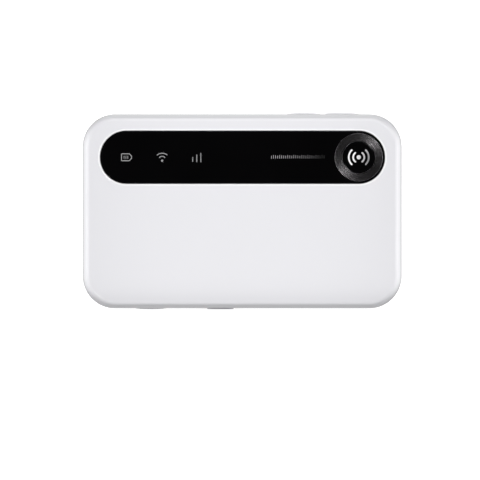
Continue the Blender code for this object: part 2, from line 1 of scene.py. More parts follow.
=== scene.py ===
"""Looks of a pocket mobile hotspot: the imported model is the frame, and the fine surfaces go round it."""
import math

import bmesh
import bpy
import numpy as np
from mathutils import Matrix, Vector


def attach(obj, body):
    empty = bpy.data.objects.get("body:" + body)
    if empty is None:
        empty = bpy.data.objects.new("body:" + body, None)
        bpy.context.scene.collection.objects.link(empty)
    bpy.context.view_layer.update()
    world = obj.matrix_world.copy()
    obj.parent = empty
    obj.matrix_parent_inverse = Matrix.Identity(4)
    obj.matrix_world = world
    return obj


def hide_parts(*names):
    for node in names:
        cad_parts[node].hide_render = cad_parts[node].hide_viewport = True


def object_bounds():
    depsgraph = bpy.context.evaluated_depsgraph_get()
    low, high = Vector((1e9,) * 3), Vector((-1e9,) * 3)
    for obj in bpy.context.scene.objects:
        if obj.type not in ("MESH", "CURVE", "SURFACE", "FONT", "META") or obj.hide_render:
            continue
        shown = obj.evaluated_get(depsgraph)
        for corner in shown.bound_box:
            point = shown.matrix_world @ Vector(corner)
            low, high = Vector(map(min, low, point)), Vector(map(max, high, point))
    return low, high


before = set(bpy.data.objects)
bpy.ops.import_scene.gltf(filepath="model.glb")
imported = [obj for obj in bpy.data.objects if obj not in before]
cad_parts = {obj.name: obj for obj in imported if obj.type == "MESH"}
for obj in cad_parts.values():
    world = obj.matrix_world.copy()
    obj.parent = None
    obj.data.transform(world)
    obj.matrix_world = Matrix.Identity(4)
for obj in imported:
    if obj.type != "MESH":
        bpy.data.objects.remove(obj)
cad_box = [list(corner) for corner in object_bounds()]
MM = 0.001


# ---------------------------------------------------------------- studio
# The hotspot lies face up on a white table, and a camera on a long lens looks straight down on it.
# A soft tent lights it: long boxes left and right, a weaker sheet behind it, the weakest in front, two thin
# strips high up across one diagonal, and black overhead, where flat gloss mirrors it.
VIEW_SPAN = 0.1804
VIEW_AIM = (-0.00083, -0.0108)
VIEW_HEIGHT = 4.0
TABLE_R = 5.0
SWEEP_R = 3.0
SWEEP_TOP = 9.0
TENT_PEAK = 4.5
# Elevation in degrees, then the light's strength to the sides, behind and in front.
TENT = [(-90, 0.1, 1.0, 0.75), (-30, 2.2, 0.6, 0.2), (-10, 3.3, 0.65, 0.05), (-3, 2.8, 0.4, 0.03),
        (-1, 0.4, 0.25, 0.02), (5, 0.4, 0.35, 0.04), (12, 3.4, 0.95, 0.5), (18, 4.2, 1.7, 1.05),
        (24, 4.2, 2.2, 1.45), (30, 3.1, 2.15, 1.5), (36, 1.75, 1.55, 1.25), (42, 2.1, 1.45, 1.15),
        (48, 3.1, 2.0, 1.45), (54, 3.4, 2.5, 1.6), (60, 3.0, 2.6, 1.55), (63, 0.002, 0.002, 0.002)]
TENT_SPREAD = 4.0
STRIP_LIGHT = 20.0


class Shade:
    """A socket of a shader. Arithmetic on it adds Math nodes, and node() adds any other node."""

    def __init__(self, tree, socket=None):
        self.tree = tree
        self.socket = socket

    def node(self, kind, settings=None, values=None, out=0):
        """Adds a node: its settings first, then the values or links of its sockets."""
        made = self.tree.nodes.new(kind)
        for name, value in (settings or {}).items():
            if name == "stops":
                ramp = made.color_ramp.elements
                while len(ramp) < len(value):
                    ramp.new(0.5)
                for stop, (place, colour) in zip(ramp, value):
                    stop.position = place
                    stop.color = (*colour, 1.0)
            else:
                setattr(made, name, value)
        for name, value in (values or {}).items():
            if isinstance(value, Shade):
                self.tree.links.new(value.socket, made.inputs[name])
            else:
                made.inputs[name].default_value = value
        return Shade(self.tree, made.outputs[out])

    def maths(self, operation, *terms):
        """Adds one Math node."""
        return self.node("ShaderNodeMath", {"operation": operation}, dict(enumerate(terms)))

    def __add__(self, other):
        return self.maths("ADD", self, other)

    def __radd__(self, other):
        return self.maths("ADD", other, self)

    def __sub__(self, other):
        return self.maths("SUBTRACT", self, other)

    def __rsub__(self, other):
        return self.maths("SUBTRACT", other, self)

    def __mul__(self, other):
        return self.maths("MULTIPLY", self, other)

    def __rmul__(self, other):
        return self.maths("MULTIPLY", other, self)

    def __truediv__(self, other):
        return self.maths("DIVIDE", self, other)

    def __pow__(self, other):
        return self.maths("POWER", self, other)

    def clamp(self):
        """The value kept between 0 and 1."""
        return self.node("ShaderNodeClamp", values={"Value": self})

    def size(self):
        """The value without its sign."""
        return self.maths("ABSOLUTE", self)

    def split(self):
        """The three parts of a vector."""
        made = self.tree.nodes.new("ShaderNodeSeparateXYZ")
        self.tree.links.new(self.socket, made.inputs[0])
        return [Shade(self.tree, part) for part in made.outputs]

    def blend(self, first, second):
        """A colour between first and second, by this value from 0 to 1."""
        return self.node("ShaderNodeMix", {"data_type": "RGBA"}, {0: self, 6: first, 7: second}, 2)


def soft_tent():
    """World light. A ramp over the height of a direction gives three strengths, each times a power of how
    far the direction leans to the sides, behind or in front, so that the corners of the tent stay dim.
    The strips are a band of height times a high power of the lean towards the diagonal."""
    world = bpy.data.worlds.new("soft_tent")
    world.use_nodes = True
    start = Shade(world.node_tree)
    x, y, z = start.node("ShaderNodeTexCoord").split()
    stops = [(0.5 + 0.5 * math.sin(math.radians(up)), [v / TENT_PEAK for v in levels])
             for up, *levels in TENT]
    ramp = start.node("ShaderNodeValToRGB", {"stops": stops}, {"Fac": z * 0.5 + 0.5})
    levels = start.node("ShaderNodeSeparateColor", values={"Color": ramp})
    beside, behind, before = (Shade(start.tree, levels.socket.node.outputs[i]) for i in range(3))
    level_share = (1.0 - z * z) + 0.0001
    lean = x * x / level_share
    rear = (y * 6.0 + 0.5).clamp()
    across = rear * behind + (1.0 - rear) * before
    tent = lean ** TENT_SPREAD * beside + (1.0 - lean) ** TENT_SPREAD * across
    diagonal = ((x + y) * (x + y) * 0.5 / level_share) ** 24.0
    band = ((z - 0.9) * 60.0).clamp() * ((0.955 - z) * 60.0).clamp()
    brightness = tent * TENT_PEAK + diagonal * band * STRIP_LIGHT
    background = world.node_tree.nodes["Background"]
    start.tree.links.new(brightness.socket, background.inputs["Strength"])
    background.inputs["Color"].default_value = (1.0, 1.0, 1.0, 1.0)
    bpy.context.scene.world = world


def white_sweep():
    """Table and backdrop in one white sweep: a turned profile that runs flat, bends up and ends in a wall.
    It shows behind the hotspot and takes its shadow, but sends no light back on to it."""
    bend = np.linspace(0.0, math.pi / 2, 9)
    radius = np.concatenate([[0.001, 0.4, 1.6], TABLE_R + SWEEP_R * np.sin(bend), [TABLE_R + SWEEP_R]])
    height = np.concatenate([[0.0, 0.0, 0.0], SWEEP_R * (1.0 - np.cos(bend)), [SWEEP_TOP]])
    turn = np.linspace(0.0, 2 * math.pi, 48, endpoint=False)
    rows = np.stack([radius[:, None] * np.cos(turn), radius[:, None] * np.sin(turn),
                     np.repeat(height[:, None], len(turn), axis=1)], axis=-1)
    index = np.arange(rows[..., 0].size).reshape(rows.shape[:2])
    lower, upper = index[:-1], index[1:]
    faces = np.stack([lower, np.roll(lower, -1, 1), np.roll(upper, -1, 1), upper], axis=-1)
    mesh = bpy.data.meshes.new("white_sweep")
    mesh.from_pydata(rows.reshape(-1, 3), [], [*faces.reshape(-1, 4).tolist(), index[0, ::-1].tolist()])
    mesh.shade_smooth()
    sweep = bpy.data.objects.new("white_sweep", mesh)
    sweep.visible_diffuse = False
    sweep.visible_glossy = False
    sweep.visible_shadow = False
    bpy.context.scene.collection.objects.link(sweep)
    made = bpy.data.materials.new("studio_white")
    made.use_nodes = True
    shader = made.node_tree.nodes["Principled BSDF"]
    shader.inputs["Base Color"].default_value = (0.9, 0.9, 0.9, 1.0)
    shader.inputs["Roughness"].default_value = 0.9
    shader.inputs["Specular IOR Level"].default_value = 0.0
    shader.inputs["Emission Color"].default_value = (1.0, 1.0, 1.0, 1.0)
    shader.inputs["Emission Strength"].default_value = 0.45
    mesh.materials.append(made)


def camera():
    """A long lens straight above the hotspot, as long as VIEW_SPAN needs at the height of the face."""
    data = bpy.data.cameras.new("camera")
    data.sensor_width = 36.0
    face_height = cad_box[1][2]
    data.lens = data.sensor_width * (VIEW_HEIGHT - face_height) / VIEW_SPAN
    made = bpy.data.objects.new("camera", data)
    made.location = (*VIEW_AIM, VIEW_HEIGHT)
    bpy.context.scene.collection.objects.link(made)
    bpy.context.scene.camera = made


camera()
soft_tent()
white_sweep()
bpy.context.scene.view_settings.view_transform = "Standard"


# ---------------------------------------------------------------- front shell
# The face and the upper side walls, one moulding in glossy white ABS/PC. The outside rolls over from
# face to sides; inside are the window's floor and four screw bosses. Openings are cut for keys and ports.
CASE_HALF = np.array([60.0, 36.55])
CASE_CORNER = 12.3
FACE_Z = 16.5
# The side from the flat face down: a slow crown, a tight shoulder and a barrel-shaped wall, each an arc
# from one tilt to another (degrees) at its radius.
SIDE_ARCS = [(0.0, 6.0, 26.0, 5), (6.0, 62.7, 1.8, 14), (62.7, 90.0, 11.7, 14)]
SIDE_RUN = sum(r * (math.sin(math.radians(b)) - math.sin(math.radians(a))) for a, b, r, _ in SIDE_ARCS)
FRONT_LOW = 6.15
RIM_WIDTH = 0.5
RIM_RISE = 0.06
WINDOW_AT = np.array([0.1, 20.3])
WINDOW_HALF = np.array([53.5, 9.9])
WINDOW_FLOOR_Z = 15.2
PORT_Z = 9.5
BOSSES = [(-50.0, -27.5), (50.0, -27.5), (-50.0, 27.5), (50.0, 27.5)]
KEYS_X = {"function_key": 23.1, "power_key": 37.6}
KEY_HALF = np.array([6.3, 1.5])
USB_X = -8.2
SIM_X = -34.4
RESET_X = 14.0
INDICATORS_X = [-43.4, -30.1, -17.1]
INDICATORS_Y = 20.3
HAIR_GAP = 0.15


def outline(half, corner, at=(0.0, 0.0), arc=24, straight=1):
    """A rounded rectangle as points and outward directions: a quarter circle at each corner, then the
    straight to the next one cut into `straight` lengths. Two outlines made alike match point by point."""
    half = np.asarray(half, float)
    signs = np.array([(1, 1), (-1, 1), (-1, -1), (1, -1)], float)
    turns = np.linspace(0.0, math.pi / 2, arc + 1)[None, :] + np.arange(4)[:, None] * math.pi / 2
    facing = np.stack([np.cos(turns), np.sin(turns)], axis=-1)
    arcs = signs[:, None, :] * (half - corner) + facing * corner
    following = np.roll(arcs[:, 0], -1, axis=0)
    steps = (np.arange(1, straight) / straight)[None, :, None]
    runs = arcs[:, -1][:, None, :] * (1 - steps) + following[:, None, :] * steps
    along = np.repeat(facing[:, -1][:, None, :], straight - 1, axis=1)
    points = np.concatenate([arcs, runs], axis=1).reshape(-1, 2) + np.asarray(at)
    return points, np.concatenate([facing, along], axis=1).reshape(-1, 2)


def level(shape, inset, height):
    """One closed row: an outline drawn in by `inset`, at one height."""
    points, facing = shape
    flat = points - facing * inset
    return np.column_stack([flat, np.full(len(flat), height)])


def rolled_edge(shape, radius, top, steps, start=0.0, sink=1, power=2.0, rise=1.0):
    """Rows up a rounded edge: inset and height follow a superellipse quarter of that radius, its height
    times `rise`. sink is -1 for an edge that rolls over downwards."""
    turn = np.linspace(0.0, math.pi / 2, steps + 1)
    inward = radius * (1.0 - np.cos(turn) ** (2.0 / power))
    upward = radius * (1.0 - np.sin(turn) ** (2.0 / power)) * rise
    return [level(shape, start + i, top - sink * u) for i, u in zip(inward, upward)]


def barrel_side(shape, top):
    """Rows from the upright wall up to the flat face. Along each arc the inset changes by the radius times
    the sine of the tilt, and the height by the radius times its cosine."""
    rows = []
    inset, height = SIDE_RUN, top
    for first, last, radius, steps in SIDE_ARCS:
        tilt = np.radians(np.linspace(first, last, steps + 1))
        insets = inset - radius * (np.sin(tilt) - np.sin(tilt[0]))
        heights = height - radius * (np.cos(tilt[0]) - np.cos(tilt))
        rows += [level(shape, i, h) for i, h in zip(insets[bool(rows):], heights[bool(rows):])]
        inset, height = insets[-1], heights[-1]
    return rows[::-1]


def between(first, last, steps):
    """Rows that pass straight from one row to another, without the two ends."""
    return [first + (last - first) * i / steps for i in range(1, steps)]


def closing(row):
    """The row's points drawn in to the line down its middle, which shuts a flat end."""
    low, high = row[:, :2].min(0), row[:, :2].max(0)
    middle, half = (low + high) / 2, (high - low) / 2
    reach = np.maximum(half - half.min(), 0.0)
    return np.column_stack([middle + np.clip(row[:, :2] - middle, -reach, reach), row[:, 2]])


def quads(rows, loop=False):
    """Points and four-sided faces of stacked closed rows; loop also joins the last row to the first."""
    grid = np.array(rows, float)
    count, around = grid.shape[:2]
    index = np.arange(count * around).reshape(count, around)
    lower, upper = (index, np.roll(index, -1, axis=0)) if loop else (index[:-1], index[1:])
    faces = np.stack([lower, np.roll(lower, -1, 1), np.roll(upper, -1, 1), upper], axis=-1)
    return grid.reshape(-1, 3), faces.reshape(-1, 4)


def to_edge(rows, x, side, z=PORT_Z):
    """Stands rows made flat on a long edge: height becomes distance from the middle, towards side, which
    is +1 for the upper edge and -1 for the lower one."""
    grid = np.array(rows, float)
    return np.stack([x + grid[..., 0], side * grid[..., 2], z + grid[..., 1]], axis=-1)


def solid(name, parts, finish=None, sharp=35.0):
    """One object, placed in its mesh (millimetres in, metres out), from (points, faces) parts.
    Poles and seams are merged, and each closed surface is turned to face outwards."""
    points, faces, used = [], [], 0
    for part_points, part_faces in parts:
        points.append(part_points)
        faces.append(part_faces + used)
        used += len(part_points)
    mesh = bpy.data.meshes.new(name)
    mesh.from_pydata(np.concatenate(points) * MM, [], np.concatenate(faces))
    bm = bmesh.new()
    bm.from_mesh(mesh)
    bmesh.ops.remove_doubles(bm, verts=bm.verts, dist=2e-7)
    bmesh.ops.dissolve_degenerate(bm, edges=bm.edges, dist=1e-8)
    bmesh.ops.recalc_face_normals(bm, faces=bm.faces)
    bm.to_mesh(mesh)
    bm.free()
    made = bpy.data.objects.new(name, mesh)
    bpy.context.scene.collection.objects.link(made)
    if finish:
        mesh.materials.append(finish)
        shade(made, sharp)
    return made


def shade(made, sharp):
    """Smooth shading, with a hard line where faces meet at more than this angle in degrees."""
    made.data.shade_smooth()
    made.data.set_sharp_from_angle(angle=math.radians(sharp))


def worked(made, cuts=(), joins=(), sharp=35.0):
    """Cuts and joins other solids into a piece, and removes them."""
    for tools, operation in ((joins, "UNION"), (cuts, "DIFFERENCE")):
        for tool in tools:
            step = made.modifiers.new(tool.name, "BOOLEAN")
            step.operation = operation
            step.object = tool
            step.solver = "EXACT"
    bpy.context.view_layer.update()
    result = bpy.data.meshes.new_from_object(made.evaluated_get(bpy.context.evaluated_depsgraph_get()))
    made.modifiers.clear()
    made.data = result
    for tool in (*cuts, *joins):
        bpy.data.objects.remove(tool)
    shade(made, sharp)
    return made


def fitted(made, body, slot, *nodes):
    """Fixes a piece to its body and lets it stand for CAD nodes. The slot is not used."""
    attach(made, body)
    if nodes:
        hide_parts(*nodes)
    return made


def bar(half, corner, low, high, at=(0.0, 0.0), arc=6, round_low=0.0, round_high=0.0):
    """Rows of an upright block with rounded corners; either end may have a rolled edge."""
    shape = outline(half, corner, at, arc)
    rows = rolled_edge(shape, round_low, low, 4, sink=-1)[::-1] if round_low else [level(shape, 0, low)]
    rows += rolled_edge(shape, round_high, high, 4) if round_high else [level(shape, 0, high)]
    return [closing(rows[0]), *rows, closing(rows[-1])]


def rod(radius, low, high, at, sides=8):
    """Rows of an upright round rod: a bar whose corners are as large as its half width."""
    return bar((radius, radius), radius, low, high, at, arc=sides)


def new_material(name):
    """A material, its shader, and the Object coordinates that its pattern follows."""
    made = bpy.data.materials.new(name)
    made.use_nodes = True
    tree = made.node_tree
    shader = tree.nodes["Principled BSDF"]
    place = Shade(tree).node("ShaderNodeTexCoord", out=3)
    return made, shader, place


def feed(shader, **links):
    """Links worked-out values to the shader's sockets."""
    names = {"colour": "Base Color", "roughness": "Roughness", "metallic": "Metallic", "normal": "Normal",
             "glow": "Emission Color", "coat": "Coat Weight", "alpha": "Alpha"}
    for key, value in links.items():
        shader.id_data.links.new(value.socket, shader.inputs[names[key]])


def noise(place, size, detail=3.0, rough=0.5):
    """Smooth noise from 0 to 1 whose lumps are about `size` metres."""
    return place.node("ShaderNodeTexNoise", values={"Vector": place, "Scale": 1.0 / size, "Detail": detail,
                                                    "Roughness": rough})


def relief(height, depth, strength=1.0):
    """A Bump node: height from 0 to 1 stands for `depth` metres."""
    return height.node("ShaderNodeBump", values={"Height": height, "Distance": depth, "Strength": strength})


def moulding(name, colour, roughness, gloss=0.5, vary=0.03, grain=0.0004, grain_depth=0.000004,
             coat=0.0):
    """Moulded plastic: slow drifts of tone from the melt flow, a fine skin grain, and handling marks that
    change only its roughness."""
    made, shader, place = new_material(name)
    flow = noise(place, 0.022, 2.0)
    rub = noise(place, 0.0035, 5.0, 0.65)
    skin = noise(place, grain, 2.0)
    dark = [c * (1.0 - vary) for c in colour]
    light = [min(1.0, c * (1.0 + vary)) for c in colour]
    feed(shader, colour=flow.blend((*dark, 1.0), (*light, 1.0)),
         roughness=(roughness - 0.04 + rub * 0.08).clamp(), normal=relief(skin, grain_depth))
    shader.inputs["Specular IOR Level"].default_value = gloss
    shader.inputs["Coat Weight"].default_value = coat
    shader.inputs["Coat Roughness"].default_value = 0.08
    return made


white_gloss = moulding("white_gloss_moulding", (0.79, 0.788, 0.812), 0.1, vary=0.006, grain=0.0009,
                       grain_depth=0.0000008)


def white_face():
    """The case's white, with a painted highlight: the bead round the window is painted brighter. Painted
    shade:
    the tone falls slightly towards the ends and the lower edge. The bead is found from its distance to the
    window's
    outline: the length of what a point lies beyond the middle line of the pill, less the pill's end radius."""
    made, shader, place = new_material("white_gloss_face_painted_light")
    x, y, z = place.split()
    beyond = (x - WINDOW_AT[0] * MM).size() - (WINDOW_HALF[0] - WINDOW_HALF[1]) * MM
    beyond = beyond.maths("MAXIMUM", beyond, 0.0)
    offset = y - WINDOW_AT[1] * MM
    away = (beyond * beyond + offset * offset) ** 0.5 - WINDOW_HALF[1] * MM
    # Painted highlight: the bead round the window gets a brighter colour than the case's white.
    bead = ((RIM_WIDTH + 0.3) * MM - away) * 8000.0
    bead = bead.clamp() * ((z - (FACE_Z - 0.3) * MM) * 20000.0).clamp()
    # Painted shade: the colour darkens towards the ends and the lower edge of the face.
    ends = (x.size() / 0.056) ** 3.0
    lower = (y / -0.033).clamp() ** 10.0
    flow = noise(place, 0.022, 2.0)
    rub = noise(place, 0.0035, 5.0, 0.65)
    body = flow.blend((0.776, 0.774, 0.802, 1.0), (0.788, 0.786, 0.814, 1.0))
    body = (ends * 0.42 + lower * 0.7).clamp().blend(body, (0.675, 0.673, 0.698, 1.0))
    feed(shader, colour=bead.blend(body, (0.91, 0.91, 0.915, 1.0)), roughness=(0.06 + rub * 0.08).clamp(),
         normal=relief(noise(place, 0.0009, 2.0), 0.0000008))
    return made


def front_shell():
    """Rows from under the window's floor out to the side wall, down inside it, round its lower edge, up
    its outside, across the face, over the bead and down to the window's floor."""
    case = outline(CASE_HALF, CASE_CORNER, arc=36, straight=10)
    window = outline(WINDOW_HALF + HAIR_GAP, WINDOW_HALF[1] + HAIR_GAP, WINDOW_AT, arc=36, straight=10)
    rows = [level(window, -1.8, 14.0), level(window, -1.8, 15.0), level(case, 3.0, 15.0),
            level(case, 2.0, 14.6), level(case, 1.6, 13.6), level(case, 1.6, 7.5), level(case, 0.8, 7.5)]
    rows += rolled_edge(case, 0.14, FRONT_LOW, 3, sink=-1)[::-1]
    rows += barrel_side(case, FACE_Z)
    # A support row each side of the flat keeps its shading flat; then the bead rises and falls as a wave.
    rows.append(level(case, SIDE_RUN + 0.05, FACE_Z))
    rows += between(rows[-1], level(window, -RIM_WIDTH - 0.05, FACE_Z), 10)
    rows += [level(window, -RIM_WIDTH - 0.05, FACE_Z)]
    rows += [level(window, -RIM_WIDTH * (1.0 - t), FACE_Z + RIM_RISE * math.sin(math.pi * t ** 0.8) ** 1.5)
             for t in np.linspace(0.0, 0.85, 10)]
    rows += [level(window, -0.03, FACE_Z - 0.03), level(window, 0.0, FACE_Z - 0.1)]
    rows.append(level(window, 0.0, WINDOW_FLOOR_Z))
    shell = solid("front_shell_moulding", [quads([closing(rows[0]), *rows, closing(rows[-1])])])
    joins = [solid(f"boss_{i}", [quads(rod(2.5, 3.7, 15.6, at, 6))]) for i, at in enumerate(BOSSES)]
    cuts = [solid(f"pilot_{i}", [quads(rod(1.0, 3.0, 12.0, at, 5))]) for i, at in enumerate(BOSSES)]
    cuts += [solid(f"lamp_hole_{i}", [quads(bar((2.6, 2.3), 0.8, 13.0, 16.0, (x, INDICATORS_Y), 3))])
             for i, x in enumerate(INDICATORS_X)]
    for key, x in KEYS_X.items():
        cuts.append(solid(f"{key}_slot", [quads(to_edge(bar(KEY_HALF + HAIR_GAP, 1.1, 33.0, 39.0), x, 1))]))
    for name, half, x in (("usb", (5.1, 2.25), USB_X), ("sim", (6.75, 1.45), SIM_X)):
        corner = min(half) if name == "usb" else 1.05
        cuts.append(solid(f"{name}_slot", [quads(to_edge(bar(half, corner, 33.0, 39.0, arc=10), x, -1))]))
    cuts.append(solid("reset_slot", [quads(to_edge(rod(0.6, 33.0, 39.0, (0.0, 0.0), 5), RESET_X, -1))]))
    shell.data.materials.append(white_face())
    return fitted(worked(shell, cuts, joins), "housing", "white_gloss", "front_shell")


front_shell()


# ---------------------------------------------------------------- rear shell, rubber strips and rating foil
# The back and the lower side walls in the same white moulding, with a lip that enters the front shell.
# Two rubber strips are pressed into grooves over the screws, and a blank foil lies in a shallow recess.
REAR_TOP = 6.0
REAR_Z = 0.5
REAR_ROLL = 3.5
STRIP_HALF = np.array([53.0, 3.0])
STRIPS = {"upper_rubber_strip": 27.5, "lower_rubber_strip": -27.5}
LABEL_HALF = np.array([32.0, 13.0])


def rear_shell():
    """Rows from the inner floor up and over the lip, then down the outer wall and round to the back."""
    case = outline(CASE_HALF, CASE_CORNER, arc=36, straight=10)
    inner = outline(CASE_HALF - 1.6, CASE_CORNER - 1.6, arc=36, straight=10)
    rows = rolled_edge(inner, 2.0, REAR_Z + 1.4, 6, sink=-1)[::-1]
    rows += [level(case, 1.6, 7.05), level(case, 1.7, 7.2), level(case, 1.1, 7.2), level(case, 1.05, 7.1),
             level(case, 1.05, REAR_TOP)]
    rows += rolled_edge(case, 0.14, REAR_TOP, 3)[::-1]
    rows += rolled_edge(case, REAR_ROLL, REAR_Z, 14, sink=-1, power=2.1)
    shell = solid("rear_shell_moulding", [quads([closing(rows[0]), *rows, closing(rows[-1])])])
    joins = [solid(f"rear_boss_{i}", [quads(rod(3.0, 1.0, 3.4, at, 6))]) for i, at in enumerate(BOSSES)]
    cuts = []
    for i, at in enumerate(BOSSES):
        cuts.append(solid(f"counterbore_{i}", [quads(rod(1.8, -0.5, 2.5, at, 6))]))
        cuts.append(solid(f"screw_hole_{i}", [quads(rod(1.0, 2.0, 5.0, at, 5))]))
    for name, y in STRIPS.items():
        half = STRIP_HALF + HAIR_GAP
        cuts.append(solid(f"{name}_groove", [quads(bar(half, half[1], -0.5, 1.1, (0.0, y), 10))]))
    cuts.append(solid("label_recess", [quads(bar(LABEL_HALF + 0.3, 1.5, -0.5, 0.7))]))
    shell.data.materials.append(white_gloss)
    return fitted(worked(shell, cuts, joins), "housing", "white_gloss", "rear_shell")


def rubber():
    """Silicone rubber: matt, with a cross-ribbed grip and dust in the hollows."""
    made, shader, place = new_material("grip_rubber")
    ribs = place.node("ShaderNodeTexWave", {"wave_type": "BANDS", "bands_direction": "X"},
                      {"Vector": place, "Scale": 260.0, "Distortion": 0.0})
    dust = noise(place, 0.002, 4.0, 0.7)
    feed(shader, colour=dust.blend((0.30, 0.30, 0.31, 1.0), (0.40, 0.40, 0.40, 1.0)),
         roughness=0.72 + dust * 0.16, normal=relief(ribs * 0.7 + dust * 0.3, 0.00012))
    shader.inputs["Specular IOR Level"].default_value = 0.3
    return made


def label_foil():
    """Blank satin polyester foil with a fine brushed grain."""
    made, shader, place = new_material("blank_foil")
    stretched = place.node("ShaderNodeMapping", values={"Vector": place, "Scale": (0.06, 1.0, 1.0)})
    grain = noise(stretched, 0.0002, 3.0)
    feed(shader, colour=grain.blend((0.72, 0.72, 0.73, 1.0), (0.80, 0.80, 0.80, 1.0)),
         roughness=0.42 + grain * 0.1, normal=relief(grain, 0.000004))
    return made


rear_shell()
grip_rubber = rubber()
blank_foil = label_foil()
for strip, strip_y in STRIPS.items():
    grip = quads(bar(STRIP_HALF, 3.0, 0.0, 0.9, (0.0, strip_y), 12, round_low=0.3))
    fitted(solid(f"{strip}_grip", [grip], grip_rubber), "housing", "grey_rubber", strip)
fitted(solid("rating_foil", [quads(bar(LABEL_HALF, 1.2, 0.52, 0.62))], blank_foil),
       "housing", "label_foil", "rating_label")


# ---------------------------------------------------------------- window
# One pill of black-backed acrylic, polished on its edge and bonded flush into the front shell, with a
# hole at its right end for the emblem. The three pictograms and the fading row are printed in grey.
WINDOW_LOW = 15.55
EMBLEM_AT = (43.8, 20.3)
RING_R = 8.95
PRINT_LOW = 16.49
PRINT_HIGH = 16.512


def window_black():
    """Black-backed acrylic: almost no body colour, a hard polish, faint wiping marks in the gloss."""
    made, shader, place = new_material("window_black_acrylic")
    wiped = noise(place.node("ShaderNodeMapping", values={"Vector": place, "Rotation": (0.0, 0.0, 0.6),
                                                          "Scale": (0.25, 1.0, 1.0)}), 0.0016, 4.0, 0.7)
    cloud = noise(place, 0.02, 2.0)
    feed(shader, colour=cloud.blend((0.0012, 0.0012, 0.0014, 1.0), (0.0022, 0.0021, 0.0023, 1.0)),
         roughness=(0.035 + wiped * 0.05).clamp(), normal=relief(cloud, 0.000002))
    shader.inputs["Specular IOR Level"].default_value = 0.4
    return made


def printed(name, near, far, start_x, end_x, lean=0.0):
    """Screen-printed ink that runs from one grey to another between two places along X (and a little
    along Y by `lean`), with the speckle of a thin print."""
    made, shader, place = new_material(name)
    x, y, z = place.split()
    run = ((x - (y - INDICATORS_Y * MM) * lean - start_x * MM) / ((end_x - start_x) * MM)).clamp()
    speckle = noise(place, 0.00025, 2.0)
    share = (run + (speckle - 0.5) * 0.12).clamp()
    feed(shader, colour=share.blend((*near, 1.0), (*far, 1.0)), roughness=0.45 + speckle * 0.2,
         normal=relief(speckle, 0.000004))
    shader.inputs["Specular IOR Level"].default_value = 0.25
    return made


def stroke(path, width, low=PRINT_LOW, high=PRINT_HIGH, loop=False, ends=4):
    """A flat stroke of even width along a path, with a chamfered top. Open strokes have round ends:
    there the width falls along a semicircle."""
    path = np.asarray(path, float)
    half = np.full(len(path), width / 2)
    if loop:
        ahead = np.roll(path, -1, 0) - np.roll(path, 1, 0)
    else:
        turn = np.linspace(0.0, math.pi / 2, ends + 1)[1:]
        first, last = path[0] - path[1], path[-1] - path[-2]
        first, last = first / np.linalg.norm(first), last / np.linalg.norm(last)
        reach = np.sin(turn)[:, None] * width / 2
        tip = np.maximum(np.cos(turn), 1e-6) * width / 2
        path = np.concatenate([(path[0] + first * reach)[::-1], path, path[-1] + last * reach])
        half = np.concatenate([tip[::-1], half, tip])
        ahead = np.gradient(path, axis=0)
    ahead /= np.linalg.norm(ahead, axis=1)[:, None]
    across = np.stack([-ahead[:, 1], ahead[:, 0]], axis=1)
    slope = (high - low) * 0.4
    section = [(-1.0, low, 0.0), (1.0, low, 0.0), (1.0, high - slope, 0.0), (1.0, high, slope),
               (-1.0, high, slope), (-1.0, high - slope, 0.0)]
    rows = [np.column_stack([path + across * (side * np.maximum(half - inset, 0.0))[:, None],
                             np.full(len(path), z)]) for side, z, inset in section]
    return quads(np.array(rows).transpose(1, 0, 2), loop)


def arc_path(centre, radius, first, last, steps=16):
    """Points along a circle from one angle to another, in degrees."""
    turn = np.radians(np.linspace(first, last, steps))
    return np.asarray(centre) + radius * np.stack([np.cos(turn), np.sin(turn)], axis=1)


def line_path(first, last, steps=4):
    """Evenly spaced points from one place to another."""
    share = np.linspace(0.0, 1.0, steps)[:, None]
    return np.asarray(first) * (1 - share) + np.asarray(last) * share


def window():
    """Rows up the emblem's hole, out across the flat face, over the pill's rolled edge and down its side."""
    hole = outline((RING_R + HAIR_GAP,) * 2, RING_R + HAIR_GAP, EMBLEM_AT, arc=40, straight=8)
    pill = outline(WINDOW_HALF, WINDOW_HALF[1], WINDOW_AT, arc=40, straight=8)
    rows = [level(hole, 0.0, WINDOW_LOW), level(hole, 0.0, FACE_Z - 0.015), level(hole, -0.015, FACE_Z),
            level(hole, -0.06, FACE_Z)]
    rows += between(rows[-1], level(pill, 0.24, FACE_Z), 6) + [level(pill, 0.24, FACE_Z)]
    rows += rolled_edge(pill, 0.18, FACE_Z, 4)[::-1]
    rows.append(level(pill, 0.0, WINDOW_LOW))
    fitted(solid("window_pill", [quads(rows, loop=True)], window_black()), "housing", "window_black",
           "window_lens")


def battery_mark(x, y):
    """Outline of a cell with a narrowed end, and three charge bars inside."""
    corners = np.array([(-1.95, 1.3), (-1.95, -1.3), (1.0, -1.3), (1.8, -0.4), (1.8, 0.4), (1.0, 1.3)])
    sides = [line_path(a, b, 6)[:-1] for a, b in zip(corners, np.roll(corners, -1, axis=0))]
    frame_line = np.concatenate(sides) + (x, y)
    bars = [stroke(line_path((x + at, y - 0.5), (x + at, y + 0.5)), 0.22) for at in (-1.0, -0.3, 0.4)]
    return [stroke(frame_line, 0.31, loop=True), *bars]


def wireless_mark(x, y):
    """A dot under two arcs, the lower one bent more tightly."""
    return [stroke(arc_path((x, y - 1.6), 3.1, 127.0, 53.0), 0.33),
            stroke(arc_path((x, y - 1.0), 1.35, 139.0, 41.0), 0.33),
            quads(rod(0.42, PRINT_LOW, PRINT_HIGH, (x, y - 1.3)))]


def signal_mark(x, y):
    """Three thin bars that step up to the right."""
    bars = ((-1.5, -1.6, 0.0, 0.27), (0.02, -1.65, 0.85, 0.36), (1.54, -1.75, 1.5, 0.33))
    return [stroke(line_path((x + at, y + low), (x + at, y + high)), wide) for at, low, high, wide in bars]


